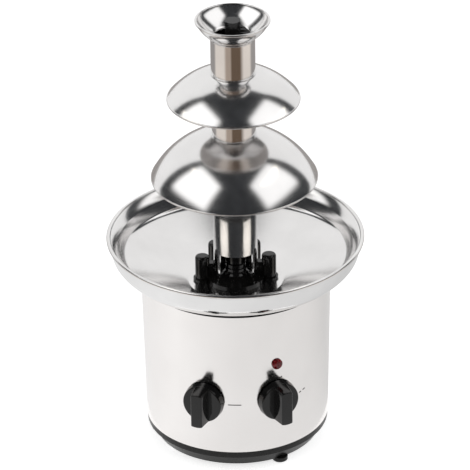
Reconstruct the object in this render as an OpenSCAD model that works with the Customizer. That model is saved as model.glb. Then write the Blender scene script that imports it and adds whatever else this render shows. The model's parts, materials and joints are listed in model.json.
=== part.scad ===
// Chocolate fountain: a heated basin on a drum housing, with a lift-off tiered tower,
// a screw auger inside it, a geared drive below the basin and two turning knobs in front.
// The axis of the tower is Z, the knobs face -Y and the feet stand on Z = 0.

/* [Base] */
// Height of the feet below the base pan
foot_h = 4.5; // [4:0.5:8]
// Radius of a foot
foot_r = 7; // [6:0.5:9]
// Distance of the feet from the axis
foot_ring_r = 70.5; // [66:0.5:70.5]
// Height of the visible skirt of the base pan
pan_h = 16.5; // [14:0.5:20]
// Outer radius of the skirt under its lip
pan_r = 79.5; // [78:0.5:81]
// Outer radius of the skirt at its underside
pan_foot_r = 74; // [73.5:0.5:76]
// Thickness of the floor and wall of the base pan
pan_wall = 2.5; // [2:0.5:3.5]

/* [Housing] */
// Height of the drum
drum_h = 147; // [140:1:180]
// Outer radius of the drum at the bottom
drum_r_bottom = 82; // [82:0.5:84]
// Outer radius of the drum at the top
drum_r_top = 85; // [84.5:0.5:88]
// Thickness of the drum sheet
drum_wall = 1; // [0.8:0.1:1.5]

/* [Basin] */
// Outer radius of the basin at its rim
rim_r = 115; // [110:0.5:122]
// Height of the rim above the top of the drum
apron_h = 31; // [28:0.5:36]
// Depth of the bowl floor below the rim
bowl_depth = 45; // [41:0.5:49]
// Width of the sloping lip
lip_w = 9.5; // [7:0.5:12]
// Drop of the sloping lip towards the bowl
lip_drop = 8.5; // [6:0.5:10]
// Thickness of the bowl and apron sheet
basin_wall = 1.2; // [1:0.1:1.6]

/* [Tower] */
// Outer radius of the tower tubes
tube_r = 19.7; // [19:0.1:20.4]
// Thickness of the tower tubes
tube_wall = 1; // [0.8:0.1:1.2]
// Length of the lower tube
lower_tube_h = 132; // [120:1:150]
// Length of the middle tube
middle_tube_h = 59.5; // [50:0.5:70]
// Length of the upper tube
upper_tube_h = 34; // [28:0.5:45]
// Rim radius of the lower tier
lower_tier_r = 74.2; // [66:0.2:78]
// Radius of curvature of the lower tier
lower_tier_curve = 84; // [81:1:100]
// Rim radius of the upper tier
upper_tier_r = 59; // [50:0.5:64]
// Radius of curvature of the upper tier
upper_tier_curve = 76; // [70:1:95]
// Thickness of the tier sheet
tier_wall = 1.2; // [1:0.1:1.6]
// Height of the crown cup
crown_h = 18; // [15:0.5:22]
// Outer radius of the crown cup at its rim
crown_r = 32.6; // [30:0.2:36]
// Height of the inlet windows in the lower tube
window_h = 19; // [14:1:24]

/* [Seat and auger] */
// Height of the tower above the bowl floor
tower_lift = 12; // [11:0.5:16]
// Distance of the seat posts from the axis
post_ring_r = 29.8; // [29.2:0.1:32]
// Radius of a seat post
post_r = 6.5; // [6.2:0.1:7.1]
// Height of the seat posts
post_h = 24; // [22:0.5:29]
// Radius of the auger's core
auger_core_r = 7; // [6:0.1:8]
// Axial pitch of the auger's flight
auger_pitch = 30; // [24:1:36]

/* [Drive] */
// Radius of the drive shaft
shaft_r = 4; // [3.6:0.1:4.4]
// Gear module
gear_module = 1; // [0.9:0.02:1.06]
// Face width of the gears
gear_w = 9; // [7:0.5:10]
// Outer radius of the motor can
motor_r = 22; // [20:0.5:23]
// Length of the motor can
motor_h = 48; // [42:1:54]

/* [Controls] */
// Height of the knobs above the floor
knob_z = 73; // [70:1:85]
// Angle of each knob from the front
knob_angle = 22.7; // [20:0.1:26]
// Radius of the knob skirt
knob_r = 18.5; // [17:0.5:20]
// Reach of the knob bar from the drum
knob_reach = 22; // [20:0.5:24]
// Width of the knob bar at its front
knob_bar_w = 12; // [10:0.5:13]
// Height of the indicator lamp above the floor
lamp_z = 108.5; // [104:0.5:116]
// Radius of the indicator lens
lamp_r = 5; // [4:0.2:6]
// Radius of the cord hole in the gland
cord_hole_r = 3.6; // [3:0.1:4.2]

/* [Hidden] */
$fn = 96;

// Clearances: fixed parts, running shafts, neighbours that move apart, and cut overrun
fit_gap = 0.03;
run_gap = 0.05;
part_gap = 0.3;
eps = 1;

// Colours
steel = "#d3d3d6";
satin = "#b9b9bc";
black = "#1c1c1e";
zinc = "#9a9ca0";
brass_tone = "#b8963e";
rubber_tone = "#2a2a2c";

// Heights up the stack
pan_z = foot_h;
drum_z = pan_z + pan_h;
drum_top = drum_z + drum_h;
rim_z = drum_top + apron_h;
bowl_floor_z = rim_z - bowl_depth;
bowl_under_z = bowl_floor_z - basin_wall;
tube_z = bowl_floor_z + tower_lift;
lower_flat_z = tube_z + lower_tube_h + tier_wall;
upper_flat_z = lower_flat_z + middle_tube_h + tier_wall;
crown_z = upper_flat_z + upper_tube_h;

// Tower sections
tube_bore_r = tube_r - tube_wall;
tier_flat_out = 0.8;
tier_flat_r = tube_r + tier_flat_out;
spigot_r = tube_bore_r - fit_gap;
spigot_wall = 1;
spigot_h = 7;
hem_r = 1.1;
front_window = 48;
rear_window = 25;
crown_foot_h = 1;
crown_flare_in = 3;
crown_flare_h = 9;

// Seat
post_angles = [0, 55, 125, 180];
post_foot_r = 8.2;
post_foot_h = 2;
post_top_round = 3;
seat_hub_r = 26;
seat_base_h = 4;
boss_r = 9.3;
boss_past = 5;
boss_h = tower_lift + boss_past;
boss_neck_h = 4.5;
seal_cap = 5;
boss_shaft_gap = 0.6;
rib_under = 1.5;
arm_w = 9;
arm_h = 3;
rib_w = 6;
rib_lip_h = 5;
seat_screw_r = 1.6;
seat_screw_head_r = 3.2;
seat_screw_head_h = 2;
seat_screw_h = 12;

// Auger
auger_side_gap = 0.8;
auger_r = spigot_r - spigot_wall - auger_side_gap;
auger_lift_gap = 1.5;
auger_z = bowl_floor_z + boss_h + auger_lift_gap;
auger_hub_h = 14;
auger_screw_z = auger_z + auger_hub_h;
auger_below_rim = 1;
auger_top = crown_z + crown_h - auger_below_rim;
auger_screw_h = auger_top - auger_screw_z;
auger_hub_neck_h = 7;
flight_angle = 36;
flight_parts = 3;
core_parts = 10;
auger_steps = 16;
hex_inset = 0.1;
hex_r = shaft_r - hex_inset;
hex_h = 10;
hex_gap = 0.12;
hex_spare = 1;

// Base pan and drum
pan_lip_h = 6;
pan_lip_inset = 0.5;
pan_spigot_h = 8;
pan_bore_in = 3.5;
pan_floor_top = pan_z + pan_wall;
drum_taper = (drum_r_top - drum_r_bottom) / drum_h;
drum_bore_bottom = drum_r_bottom - drum_wall;
pan_spigot_r = drum_bore_bottom + min(0, drum_taper * pan_spigot_h) - fit_gap * 2;
foot_angles = [30, 150, 270];
foot_screw_r = 2;
foot_screw_head_r = 4;
foot_screw_head_h = 2.5;
foot_screw_z = 1;
pan_boss_r = 5;
foot_boss_r = 3.6;
foot_boss_h = 7;
bracket_angles = [75, 120, 210, 300];
bracket_ring_r = 68;
bracket_w = 14;
bracket_t = 1.5;
bracket_h = 20;
pan_screw_r = 1.8;
pan_screw_head_r = 3.5;
pan_screw_head_h = 2;
pan_screw_past = 4;
bracket_z = drum_z + pan_spigot_h;
bracket_bore_r = drum_bore_bottom + min(0, drum_taper * (pan_spigot_h + bracket_h));
bracket_face_r = sqrt(pow(bracket_bore_r, 2) - pow(bracket_w / 2, 2)) - fit_gap;
vent_r = 3;
vent_ring_r = 56;
vent_count = 10;

// Basin
rim_bead_r = 1.8;
apron_shelf_in_r = drum_r_top - drum_wall;
apron_shelf_out = 1;
seal_ring_h = 7;
seal_ring_inset = 0.1;
apron_shoulder_in = 15;
apron_shoulder_h = 3;
apron_shoulder_r = rim_r - apron_shoulder_in;
apron_waist_in = 4.5;
apron_waist_drop = 15;
apron_turn_in = 6;
apron_turn_drop = 21;
apron_waist = [rim_r - apron_waist_in, rim_z - apron_waist_drop];
apron_turn = [rim_r - apron_turn_in, rim_z - apron_turn_drop];
lip_crease_r = rim_r - lip_w;
lip_crease_z = rim_z - lip_drop;
lip_roll_in = 1.5;
lip_roll_drop = 2.5;
wall_top = [lip_crease_r - lip_roll_in, lip_crease_z - lip_roll_drop];
bowl_hole_r = 6.5;
bowl_fillet = 1;
heater_margin = 2;

// Gears
gear_teeth = 36;
pinion_teeth = 12;
gear_pitch_r = gear_module * gear_teeth / 2;
pinion_pitch_r = gear_module * pinion_teeth / 2;
gear_centres = gear_pitch_r + pinion_pitch_r;
tooth_out = 0.8;
tooth_in = 1.1;
tooth_tip = 0.22;
tooth_root = 0.58;
case_wall = 2.5;
gear_side_gap = 2.5;
case_cavity_r = gear_pitch_r + gear_side_gap;
case_r = case_cavity_r + case_wall;

// Heater and drive bracket below the bowl
heater_w = 8;
heater_h = 6;
clamp_t = 1.5;
clamp_in_r = 25;
spacer_h = 8;
plate_t = 3;
stud_angles = [20, 160, 270];
stud_r = 2.5;
stud_tail = 6;
stud_hole_gap = 0.2;
stud_hole_r = stud_r + stud_hole_gap;
spacer_r = 4.3;
nut_r = 4.8;
nut_h = 4;
nut_land = 1;
stud_side_gap = 1.5;
stud_ring_r = case_r + nut_r + stud_side_gap;
heater_in = 4;
heater_mid_r = stud_ring_r + heater_in + heater_w / 2;
heater_z = bowl_under_z - heater_h;
clamp_z = heater_z - clamp_t;
plate_top = clamp_z - spacer_h;
plate_z = plate_top - plate_t;
cutout_r = 6;
cutout_h = 7;
cutout_angle = 90;

// Dish of the bowl: a cone that passes over the inner edge of the apron's shelf down to the flat floor
bowl_floor_r = heater_mid_r + heater_w / 2 + heater_margin;
dish_gap = 0.5;
dish_slant = 1.15;
dish_edge_in = 14.5;
dish_pass = [apron_shelf_in_r, drum_top + dish_gap + (1 + dish_slant) * basin_wall];
dish_turn = [bowl_floor_r + bowl_fillet, bowl_floor_z];
dish_rise = (dish_pass[1] - dish_turn[1]) / (dish_pass[0] - dish_turn[0]);
dish_edge_r = rim_r - dish_edge_in;
dish_edge = [dish_edge_r, dish_turn[1] + dish_rise * (dish_edge_r - dish_turn[0])];

// Gearbox and motor
case_floor_t = 3;
case_h = 26;
case_z = plate_z - case_h;
gear_up = 7;
gear_z = case_z + case_floor_t + gear_up;
shaft_up = 1;
lug_r = 4.5;
lug_out = 3.2;
ear_spots = [for (s = [-1, 1]) [s * (motor_r + lug_out), gear_centres]];
lug_spots = concat(ear_spots, [for (a = [-45, -135]) (case_r + lug_out) * [cos(a), sin(a)]]);
ear_t = 3;
case_screw_r = 1.5;
case_screw_head_r = 2.8;
case_screw_head_h = 2;
case_screw_h = 14;
motor_screw_h = 12;
bush_r = 6.5;
bush_h = 9;
bush_proud = 3;
motor_z = case_z - motor_h;
motor_wall = 1.5;
motor_shaft_r = 2.5;
motor_bush_r = 5;
motor_bush_h = 5;
rotor_r = 12;
rotor_h = 24;
rotor_up = 12;
rotor_z = motor_z + rotor_up;
air_gap = 0.5;
stator_h = 20;
gear_hub_wall = 5;

// Controls
hole_reach = 6;
seat_clear = 0.5;
knob_face_r = drum_r_bottom + drum_taper * (knob_z - drum_z);
lamp_face_r = drum_r_bottom + drum_taper * (lamp_z - drum_z);
knob_gap = 1.2;
knob_skirt_h = 7;
knob_edge = 1.5;
knob_draft = 0.6;
knob_bar_draft = 1.5;
knob_bar_sink = 1;
knob_bar_l = 33;
knob_recess_r = 9;
knob_recess_h = 3.5;
knob_shaft_r = 3;
knob_shaft_out = 15;
knob_shaft_in = 8;
knob_flat = 0.8;
control_bush_r = 4.5;
control_bush_out = 2.6;
control_nut_r = 7;
control_nut_h = 2;
control_r = 13;
control_h = 18;
control_face_in = behind_drum(knob_face_r, control_r);
lens_in = 9;
lens_out = 1.2;
lens_dome = 1.8;
holder_wall = 2;
holder_h = 14;
holder_face_in = behind_drum(lamp_face_r, lamp_r + holder_wall);

// Wiring entry
gland_up = 20;
gland_z = drum_z + gland_up;
gland_face_r = drum_r_bottom + drum_taper * (gland_z - drum_z);
gland_wall = 3;
gland_r = cord_hole_r + gland_wall;
gland_flange_r = gland_r + gland_wall;
gland_flange_h = 3;
gland_body_h = 14;
gland_nut_h = 4;
gland_nut_wall = 3.5;
gland_nut_r = gland_r + gland_nut_wall;
gland_seat = behind_drum(gland_face_r, gland_nut_r);
block_size = [30, 18, 13];
block_at = [-42, 30];
block_screw_r = 2.2;
block_screw_count = 3;
block_screw_h = 5;
block_screw_proud = 1;

// How far behind the drum's face a flat piece of radius r sits clear of the curved sheet
function behind_drum(face_r, r) = face_r - sqrt(pow(face_r - drum_wall, 2) - pow(r, 2)) + seat_clear;

// Outline helpers: points of a quadratic curve, and a sheet laid along a path
function curve(a, b, c, n = 12) =
    [for (i = [0:n]) let (t = i / n) (1 - t) * (1 - t) * a + 2 * t * (1 - t) * b + t * t * c];
function unit2(v) = v / norm(v);
function side2(p, i) =
    let (a = p[max(i - 1, 0)], b = p[min(i + 1, len(p) - 1)], d = unit2(b - a)) [-d[1], d[0]];
function sheet(p, t) =
    concat(p, [for (i = [len(p) - 1:-1:0]) p[i] + t * side2(p, i)]);
function gear_points(teeth, pitch_r) =
    let (
        step = 360 / teeth,
        r_out = pitch_r + tooth_out * gear_module,
        r_in = pitch_r - tooth_in * gear_module,
        tip = tooth_tip / 2,
        root = tooth_root / 2)
    [for (i = [0:teeth - 1])
        for (k = [[r_in, -root], [r_out, -tip], [r_out, tip], [r_in, root]])
            k[0] * [cos((i + k[1]) * step), sin((i + k[1]) * step)]];

// A round tube standing on z = 0
module tube(r_out, r_in, h) {
    difference() {
        cylinder(r = r_out, h = h);
        translate([0, 0, -eps]) cylinder(r = r_in, h = h + 2 * eps);
    }
}

// Puts its children on the drum at an angle from the front, with +Z pointing outwards
module on_drum(angle, r, z) {
    rotate([0, 0, angle]) translate([0, -r, z]) rotate([90, 0, 0]) children();
}

// Tower
module tier(flat_z, rim, curve_r) {
    centre_z = flat_z - sqrt(curve_r * curve_r - tier_flat_r * tier_flat_r);
    edge_z = centre_z + sqrt(curve_r * curve_r - rim * rim);
    difference() {
        intersection() {
            translate([0, 0, centre_z]) sphere(r = curve_r, $fn = 180);
            translate([0, 0, edge_z]) cylinder(r = rim + eps, h = flat_z - edge_z);
        }
        intersection() {
            translate([0, 0, centre_z]) sphere(r = curve_r - tier_wall, $fn = 180);
            translate([0, 0, edge_z - eps])
                cylinder(r = rim + eps, h = flat_z - tier_wall - edge_z + eps);
        }
        translate([0, 0, flat_z - tier_wall - eps])
            cylinder(r = spigot_r - spigot_wall, h = tier_wall + 2 * eps);
    }
    translate([0, 0, edge_z]) rotate_extrude($fn = 180)
        translate([rim - hem_r, 0]) circle(r = hem_r, $fn = 24);
    translate([0, 0, flat_z - tier_wall - spigot_h])
        tube(spigot_r, spigot_r - spigot_wall, 2 * spigot_h + tier_wall);
}

module crown_cup() {
    wall = tube_wall;
    path = concat([[tube_r, 0]], curve(
        [tube_r, crown_foot_h], [crown_r - crown_flare_in, crown_flare_h], [crown_r, crown_h - hem_r]));
    color(steel) translate([0, 0, crown_z]) {
        rotate_extrude($fn = 180) polygon(sheet(path, wall));
        translate([0, 0, crown_h - hem_r]) rotate_extrude($fn = 180)
            translate([crown_r - wall / 2, 0]) circle(r = hem_r, $fn = 24);
        translate([0, 0, -spigot_h]) tube(spigot_r, spigot_r - spigot_wall, spigot_h + spigot_wall);
        tube(tube_r - wall / 2, spigot_r - spigot_wall, spigot_wall);
    }
}

module upper_tube() {
    color(steel) translate([0, 0, upper_flat_z]) tube(tube_r, tube_bore_r, upper_tube_h);
}

module upper_tier() {
    color(satin) tier(upper_flat_z, upper_tier_r, upper_tier_curve);
}

module middle_tube() {
    color(steel) translate([0, 0, lower_flat_z]) tube(tube_r, tube_bore_r, middle_tube_h);
}

module lower_tier() {
    color(satin) tier(lower_flat_z, lower_tier_r, lower_tier_curve);
}

// The windows are cut by wedges: half the opening angle each side of the middle
module window_wedge(half) {
    reach = 2 * tube_r;
    linear_extrude(window_h + eps)
        polygon([[0, 0], reach * [sin(half), cos(half)], reach * [-sin(half), cos(half)]]);
}

module lower_tube() {
    color(steel) translate([0, 0, tube_z]) difference() {
        tube(tube_r, tube_bore_r, lower_tube_h);
        translate([0, 0, -eps]) window_wedge(rear_window);
        translate([0, 0, -eps]) rotate([0, 0, 180]) window_wedge(front_window);
    }
}

// Auger
// The flight leaves the core over half a turn at each end
function flight_r(k, n) =
    let (ends = auger_steps / 2, t = min(1, k / ends, (n - k) / ends))
    auger_core_r + (auger_r - auger_core_r) * max(t, 0.02);
function auger_section(r) = concat(
    [for (i = [0:flight_parts]) let (a = i * flight_angle / flight_parts) r * [cos(a), sin(a)]],
    [for (i = [0:core_parts]) let (a = flight_angle + i * (360 - flight_angle) / core_parts)
        auger_core_r * [cos(a), sin(a)]]);

module auger_screw() {
    turns = auger_screw_h / auger_pitch;
    n = ceil(turns * auger_steps);
    m = len(auger_section(auger_r));
    points = [for (k = [0:n]) let (turn = 360 * turns * k / n)
        for (p = auger_section(flight_r(k, n)))
            [p[0] * cos(turn) - p[1] * sin(turn),
             p[0] * sin(turn) + p[1] * cos(turn),
             auger_screw_h * k / n]];
    sides = [for (k = [0:n - 1]) for (j = [0:m - 1])
        let (a = k * m + j, b = k * m + (j + 1) % m)
        for (f = [[a, a + m, b], [b, a + m, b + m]]) f];
    color(black) translate([0, 0, auger_screw_z])
        polyhedron(points, concat([[for (j = [0:m - 1]) j]], [[for (j = [m - 1:-1:0]) n * m + j]], sides));
}

module auger_hub() {
    color(black) translate([0, 0, auger_z]) difference() {
        rotate_extrude() polygon(concat(
            [[0, 0], [boss_r, 0]],
            curve(
                [boss_r, auger_hub_h - auger_hub_neck_h], [boss_r, auger_hub_h],
                [auger_core_r, auger_hub_h], 6),
            [[0, auger_hub_h]]));
        translate([0, 0, -eps]) cylinder(r = hex_r + hex_gap, h = hex_h + hex_spare + eps, $fn = 6);
    }
}

// Seat that carries the tower
module seat_post() {
    rotate_extrude() polygon(concat(
        [[0, 0], [post_foot_r, 0], [post_foot_r, post_foot_h], [post_r, post_foot_h]],
        curve([post_r, post_h - post_top_round], [post_r, post_h], [post_r - post_top_round, post_h], 6),
        [[0, post_h]]));
}

module tower_seat() {
    rib_in = tube_bore_r - rib_under;
    lip_in = tube_r + part_gap;
    color(black) translate([0, 0, bowl_floor_z]) difference() {
        union() {
            rotate_extrude() polygon(concat(
                [[0, 0], [seat_hub_r, 0]],
                curve([seat_hub_r, seat_base_h], [boss_r, seat_base_h], [boss_r, boss_h - boss_neck_h], 8),
                [[boss_r, boss_h], [0, boss_h]]));
            for (a = post_angles) rotate([0, 0, a]) {
                translate([post_ring_r, 0, 0]) seat_post();
                translate([boss_r, -arm_w / 2, 0]) cube([post_ring_r - boss_r, arm_w, arm_h]);
                translate([rib_in, -rib_w / 2, 0]) cube([post_ring_r - rib_in, rib_w, tower_lift]);
                translate([lip_in, -rib_w / 2, 0])
                    cube([post_ring_r - lip_in, rib_w, tower_lift + rib_lip_h]);
            }
        }
        translate([0, 0, -eps]) cylinder(r = bowl_hole_r, h = boss_h - seal_cap + eps);
        translate([0, 0, -eps]) cylinder(r = shaft_r + boss_shaft_gap, h = boss_h + 2 * eps);
        for (a = post_angles) rotate([0, 0, a]) translate([post_ring_r, 0, -eps])
            cylinder(r = seat_screw_r + fit_gap, h = seat_screw_h + eps - basin_wall);
    }
}

module seat_screws() {
    color(zinc) for (a = post_angles) rotate([0, 0, a]) translate([post_ring_r, 0, bowl_under_z]) {
        translate([0, 0, -seat_screw_head_h]) cylinder(r = seat_screw_head_r, h = seat_screw_head_h);
        cylinder(r = seat_screw_r, h = seat_screw_h);
    }
}

module shaft_seal() {
    color(rubber_tone) translate([0, 0, bowl_under_z])
        tube(bowl_hole_r - fit_gap, shaft_r + run_gap, boss_h - seal_cap + basin_wall);
}

// Basin
module basin_bowl() {
    bead = [rim_r - rim_bead_r, rim_z - rim_bead_r];
    path = concat(
        [[bead[0], rim_z - basin_wall / 4], [lip_crease_r, lip_crease_z]],
        [wall_top],
        curve(dish_edge, dish_turn, [bowl_floor_r - bowl_fillet, bowl_floor_z]),
        [[bowl_hole_r, bowl_floor_z]]);
    color(steel) difference() {
        union() {
            rotate_extrude($fn = 180) polygon(sheet(path, basin_wall));
            rotate_extrude($fn = 180) translate(bead) circle(r = rim_bead_r, $fn = 32);
        }
        for (a = post_angles) rotate([0, 0, a]) translate([post_ring_r, 0, bowl_under_z - eps])
            cylinder(r = seat_screw_r + fit_gap, h = basin_wall + 2 * eps);
    }
}

module basin_apron() {
    top_z = rim_z - 2 * rim_bead_r - part_gap;
    path = concat(
        [[rim_r - rim_bead_r, top_z]],
        curve(apron_waist, apron_turn, [apron_shoulder_r, drum_top + apron_shoulder_h]),
        [[drum_r_top + apron_shelf_out, drum_top], [apron_shelf_in_r, drum_top]]);
    color(steel) rotate_extrude($fn = 180) polygon(sheet(path, -basin_wall));
}

// Seal round the drum under the edge of the apron
module basin_seal() {
    color(rubber_tone) translate([0, 0, drum_top - seal_ring_h])
        tube(drum_r_top + apron_shelf_out - seal_ring_inset, drum_r_top + run_gap, seal_ring_h, $fn = 180);
}

// Housing
module housing_drum() {
    color(steel) difference() {
        translate([0, 0, drum_z]) difference() {
            cylinder(r1 = drum_r_bottom, r2 = drum_r_top, h = drum_h, $fn = 180);
            translate([0, 0, -eps]) cylinder(
                r1 = drum_bore_bottom - eps * drum_taper,
                r2 = drum_r_top - drum_wall + eps * drum_taper, h = drum_h + 2 * eps, $fn = 180);
        }
        for (a = [-knob_angle, knob_angle]) on_drum(a, knob_face_r, knob_z) translate([0, 0, -hole_reach])
            cylinder(r = control_bush_r + fit_gap, h = 2 * hole_reach);
        on_drum(knob_angle, lamp_face_r, lamp_z) translate([0, 0, -hole_reach])
            cylinder(r = lamp_r + fit_gap, h = 2 * hole_reach);
        on_drum(180, gland_face_r, gland_z) translate([0, 0, -hole_reach])
            cylinder(r = gland_r + fit_gap, h = 2 * hole_reach);
    }
}

// Puts its children at a ring of places, counted from the front towards +X
module ring_of(angles, r, z) {
    for (a = angles) rotate([0, 0, a]) translate([0, -r, z]) children();
}

module base_pan() {
    lip_z = drum_z - pan_lip_h;
    lip_r = drum_r_bottom - pan_lip_inset;
    bore_r = pan_r - pan_bore_in;
    pan_boss_z = pan_z + pan_wall / 2;
    color(black) difference() {
        union() {
            rotate_extrude($fn = 180) polygon([
                [0, pan_z], [pan_foot_r, pan_z],
                [pan_r, lip_z], [lip_r, lip_z], [lip_r, drum_z], [pan_spigot_r, drum_z],
                [pan_spigot_r, bracket_z], [bore_r, bracket_z], [bore_r, lip_z],
                [pan_foot_r - pan_wall, pan_floor_top], [0, pan_floor_top]]);
            ring_of(foot_angles, foot_ring_r, pan_boss_z)
                cylinder(r = foot_boss_r, h = pan_floor_top + foot_boss_h - pan_boss_z);
            ring_of(bracket_angles, bracket_ring_r, pan_boss_z)
                cylinder(r = pan_boss_r, h = bracket_z - pan_boss_z);
        }
        ring_of(foot_angles, foot_ring_r, pan_z - eps)
            cylinder(r = foot_screw_r + fit_gap, h = pan_wall + foot_boss_h);
        ring_of(bracket_angles, bracket_ring_r, pan_z - eps)
            cylinder(r = pan_screw_r + fit_gap, h = bracket_z - pan_z + 2 * eps);
        for (i = [0:vent_count - 1]) rotate([0, 0, (i + 0.5) * 360 / vent_count])
            translate([vent_ring_r, 0, pan_z - eps]) cylinder(r = vent_r, h = pan_wall + 2 * eps);
    }
}

module feet() {
    edge = 1;
    color(black) ring_of(foot_angles, foot_ring_r, 0) difference() {
        rotate_extrude() polygon([
            [0, 0], [foot_r - edge, 0], [foot_r, edge], [foot_r, pan_z], [0, pan_z]]);
        translate([0, 0, -eps])
            cylinder(r = foot_screw_head_r + fit_gap, h = foot_screw_z + foot_screw_head_h + eps);
        cylinder(r = foot_screw_r + fit_gap, h = pan_z + eps);
    }
}

module foot_screws() {
    color(zinc) ring_of(foot_angles, foot_ring_r, foot_screw_z) {
        cylinder(r = foot_screw_head_r, h = foot_screw_head_h);
        cylinder(r = foot_screw_r, h = pan_floor_top + foot_boss_h - eps - foot_screw_z);
    }
}

// Angle brackets inside the drum, which the base pan is screwed to
module drum_brackets() {
    tab_in = bracket_ring_r - pan_boss_r;
    color(zinc) ring_of(bracket_angles, 0, bracket_z) difference() {
        union() {
            translate([-bracket_w / 2, -bracket_face_r, 0]) cube([bracket_w, bracket_t, bracket_h]);
            translate([-bracket_w / 2, -bracket_face_r, 0])
                cube([bracket_w, bracket_face_r - tab_in, bracket_t]);
        }
        translate([0, -bracket_ring_r, -eps]) cylinder(r = pan_screw_r + fit_gap, h = bracket_t + 2 * eps);
    }
}

module pan_screws() {
    color(zinc) ring_of(bracket_angles, bracket_ring_r, pan_z) {
        translate([0, 0, -pan_screw_head_h]) cylinder(r = pan_screw_head_r, h = pan_screw_head_h);
        cylinder(r = pan_screw_r, h = bracket_z + bracket_t + pan_screw_past - pan_z);
    }
}

// Heater and bracket
module heater_ring() {
    edge = 1.5;
    half = heater_w / 2;
    color(zinc) rotate_extrude($fn = 180) translate([heater_mid_r, heater_z]) polygon([
        [-half + edge, 0], [half - edge, 0], [half, edge],
        [half, heater_h], [-half, heater_h], [-half, edge]]);
}

module heater_clamp() {
    color(zinc) translate([0, 0, clamp_z]) difference() {
        tube(heater_mid_r + heater_w / 2, clamp_in_r, clamp_t);
        for (a = stud_angles) rotate([0, 0, a]) translate([stud_ring_r, 0, -eps])
            cylinder(r = stud_hole_r, h = clamp_t + 2 * eps);
    }
}

module bracket_studs() {
    color(zinc) for (a = stud_angles) rotate([0, 0, a]) translate([stud_ring_r, 0, plate_z - stud_tail])
        cylinder(r = stud_r, h = bowl_under_z - plate_z + stud_tail);
}

module bracket_spacers() {
    color(zinc) for (a = stud_angles) rotate([0, 0, a]) translate([stud_ring_r, 0, plate_top])
        tube(spacer_r, stud_r + fit_gap, spacer_h);
}

module bracket_nuts() {
    color(zinc) for (a = stud_angles) rotate([0, 0, a]) translate([stud_ring_r, 0, plate_z - nut_h])
        difference() {
            cylinder(r = nut_r, h = nut_h, $fn = 6);
            translate([0, 0, -eps]) cylinder(r = stud_r + fit_gap, h = nut_h + 2 * eps);
        }
}

module thermal_cutout() {
    color(rubber_tone) rotate([0, 0, cutout_angle]) translate([stud_ring_r, 0, clamp_z - cutout_h])
        cylinder(r = cutout_r, h = cutout_h);
}

// Gearbox
module case_outline(r) {
    circle(r = r);
    translate([0, gear_centres]) circle(r = motor_r);
    translate([-motor_r, 0]) square([2 * motor_r, gear_centres]);
}

module gear_cover() {
    color(zinc) translate([0, 0, plate_z]) difference() {
        union() {
            linear_extrude(plate_t) case_outline(case_r);
            for (p = lug_spots) translate(p) cylinder(r = lug_r, h = plate_t);
            for (a = stud_angles) rotate([0, 0, a]) {
                translate([stud_ring_r, 0, 0]) cylinder(r = nut_r + nut_land, h = plate_t);
                translate([0, -nut_r - nut_land, 0]) cube([stud_ring_r, 2 * (nut_r + nut_land), plate_t]);
            }
        }
        translate([0, 0, -eps]) cylinder(r = bush_r + fit_gap, h = plate_t + 2 * eps);
        for (p = lug_spots) translate([p[0], p[1], -eps])
            cylinder(r = case_screw_r + fit_gap, h = plate_t + 2 * eps);
        for (a = stud_angles) rotate([0, 0, a]) translate([stud_ring_r, 0, -eps])
            cylinder(r = stud_hole_r, h = plate_t + 2 * eps);
    }
}

module gear_case() {
    color(zinc) translate([0, 0, case_z]) difference() {
        union() {
            linear_extrude(case_h) case_outline(case_r);
            for (p = lug_spots) translate(p) cylinder(r = lug_r, h = case_h);
        }
        translate([0, 0, case_floor_t]) cylinder(r = case_cavity_r, h = case_h);
        translate([0, gear_centres, case_floor_t])
            cylinder(r = pinion_pitch_r + gear_side_gap, h = case_h);
        translate([0, 0, -eps]) cylinder(r = bush_r + fit_gap, h = case_floor_t + 2 * eps);
        translate([0, gear_centres, -eps]) cylinder(r = motor_bush_r + fit_gap, h = case_floor_t + 2 * eps);
        for (p = lug_spots) translate([p[0], p[1], case_h - case_screw_h + plate_t])
            cylinder(r = case_screw_r + fit_gap, h = case_screw_h);
        for (p = ear_spots) translate([p[0], p[1], -eps])
            cylinder(r = case_screw_r + fit_gap, h = motor_screw_h - ear_t + eps);
    }
}

module gear_case_screws() {
    color(zinc) for (p = lug_spots) translate([p[0], p[1], plate_top]) {
        cylinder(r = case_screw_head_r, h = case_screw_head_h);
        translate([0, 0, -case_screw_h]) cylinder(r = case_screw_r, h = case_screw_h);
    }
}

module upper_bush() {
    color(brass_tone) translate([0, 0, plate_top + bush_proud - bush_h])
        tube(bush_r, shaft_r + run_gap, bush_h);
}

module lower_bush() {
    color(brass_tone) translate([0, 0, case_z]) tube(bush_r, shaft_r + run_gap, case_floor_t + bush_proud);
}

module drive_shaft() {
    color(steel) {
        translate([0, 0, case_z + shaft_up]) cylinder(r = shaft_r, h = auger_z - case_z - shaft_up);
        translate([0, 0, auger_z]) cylinder(r = hex_r, h = hex_h, $fn = 6);
    }
}

module drive_gear() {
    hub_r = shaft_r + gear_hub_wall;
    color(brass_tone) translate([0, 0, gear_z]) difference() {
        union() {
            linear_extrude(gear_w) polygon(gear_points(gear_teeth, gear_pitch_r));
            translate([0, 0, case_z + case_floor_t + bush_proud + part_gap - gear_z])
                cylinder(r = hub_r, h = gear_z - case_z - case_floor_t - bush_proud);
        }
        translate([0, 0, -gear_w]) cylinder(r = shaft_r + fit_gap, h = 3 * gear_w);
    }
}

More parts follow.
